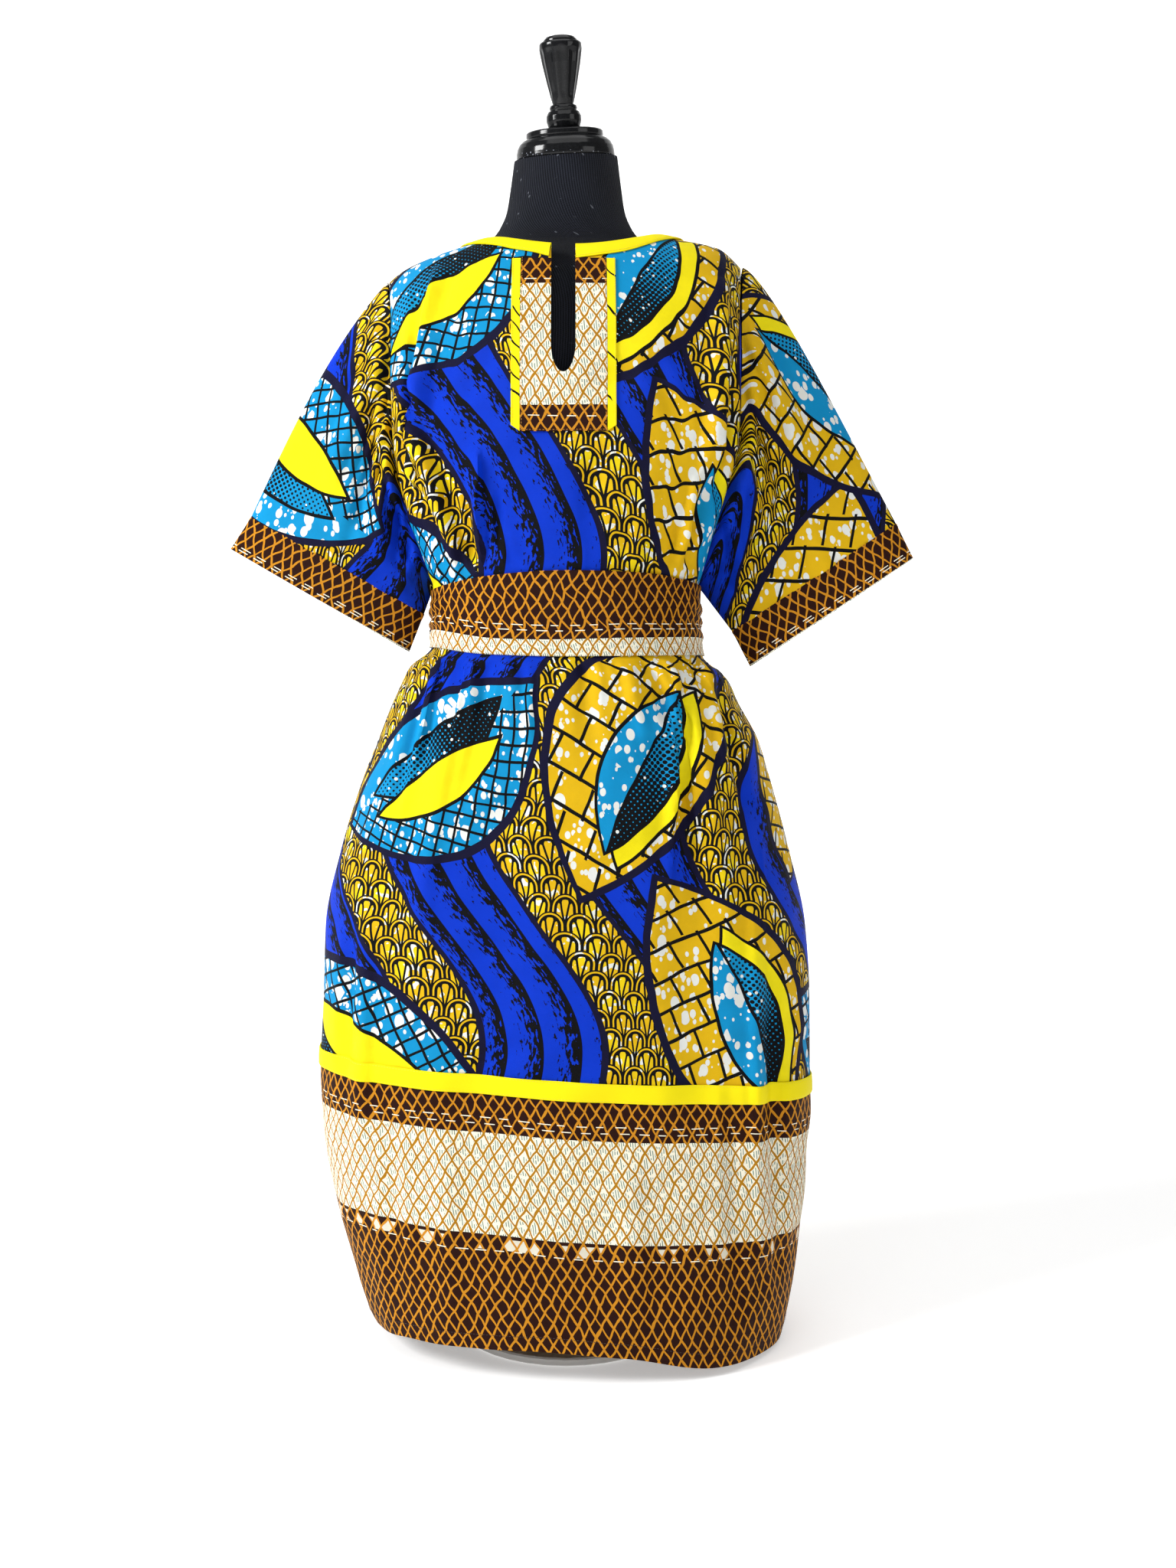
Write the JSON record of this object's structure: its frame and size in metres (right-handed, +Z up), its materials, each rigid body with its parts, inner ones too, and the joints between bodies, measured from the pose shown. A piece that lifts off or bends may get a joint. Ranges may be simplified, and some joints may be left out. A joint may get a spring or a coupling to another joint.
{
  "type": "shift dress on a dress form",
  "caption": "Loose wax-print shift dress with flared half sleeves, wide tied sash and net-print border, standing on a limbless knit-covered dress form with a finial.",
  "frame": {"origin": "on the floor, at the middle of the underside of the form's round base, on the axis of its pole", "axes": "+Z up along the pole, -Y is the wearer's front, +X is the wearer's left, which is the right of the picture"},
  "size_m": [0.7072, 0.3176, 1.3329],
  "materials": {
    "wax_print_cotton": "printed plain-weave cotton, slight starch sheen",
    "net_print_cotton": "printed plain-weave cotton",
    "yellow_cotton": "plain-weave cotton",
    "black_knit": "fine ribbed knit",
    "black_lacquer": "glossy, with small worn chips",
    "pale_coated_metal": "satin powder coat"
  },
  "bodies": {
    "root": {"dress_front": "wax_print_cotton", "dress_back": "wax_print_cotton", "sleeve_left": "wax_print_cotton", "sleeve_right": "wax_print_cotton", "cuff_left": "net_print_cotton", "cuff_right": "net_print_cotton", "border_front": "net_print_cotton", "border_back": "net_print_cotton", "hip_band": "yellow_cotton", "placket": "net_print_cotton", "placket_strip_left": "yellow_cotton", "placket_strip_right": "yellow_cotton", "neck_binding_left": "yellow_cotton", "neck_binding_right": "yellow_cotton", "neck_binding_back": "yellow_cotton", "sash": "net_print_cotton", "sash_knot": "net_print_cotton", "sash_tail_left": "net_print_cotton", "sash_tail_right": "net_print_cotton", "form_torso": "black_knit", "neck_cap": "black_lacquer", "finial": "black_lacquer", "pole": "pale_coated_metal", "base_plate": "pale_coated_metal"}
  },
  "joints": []
}
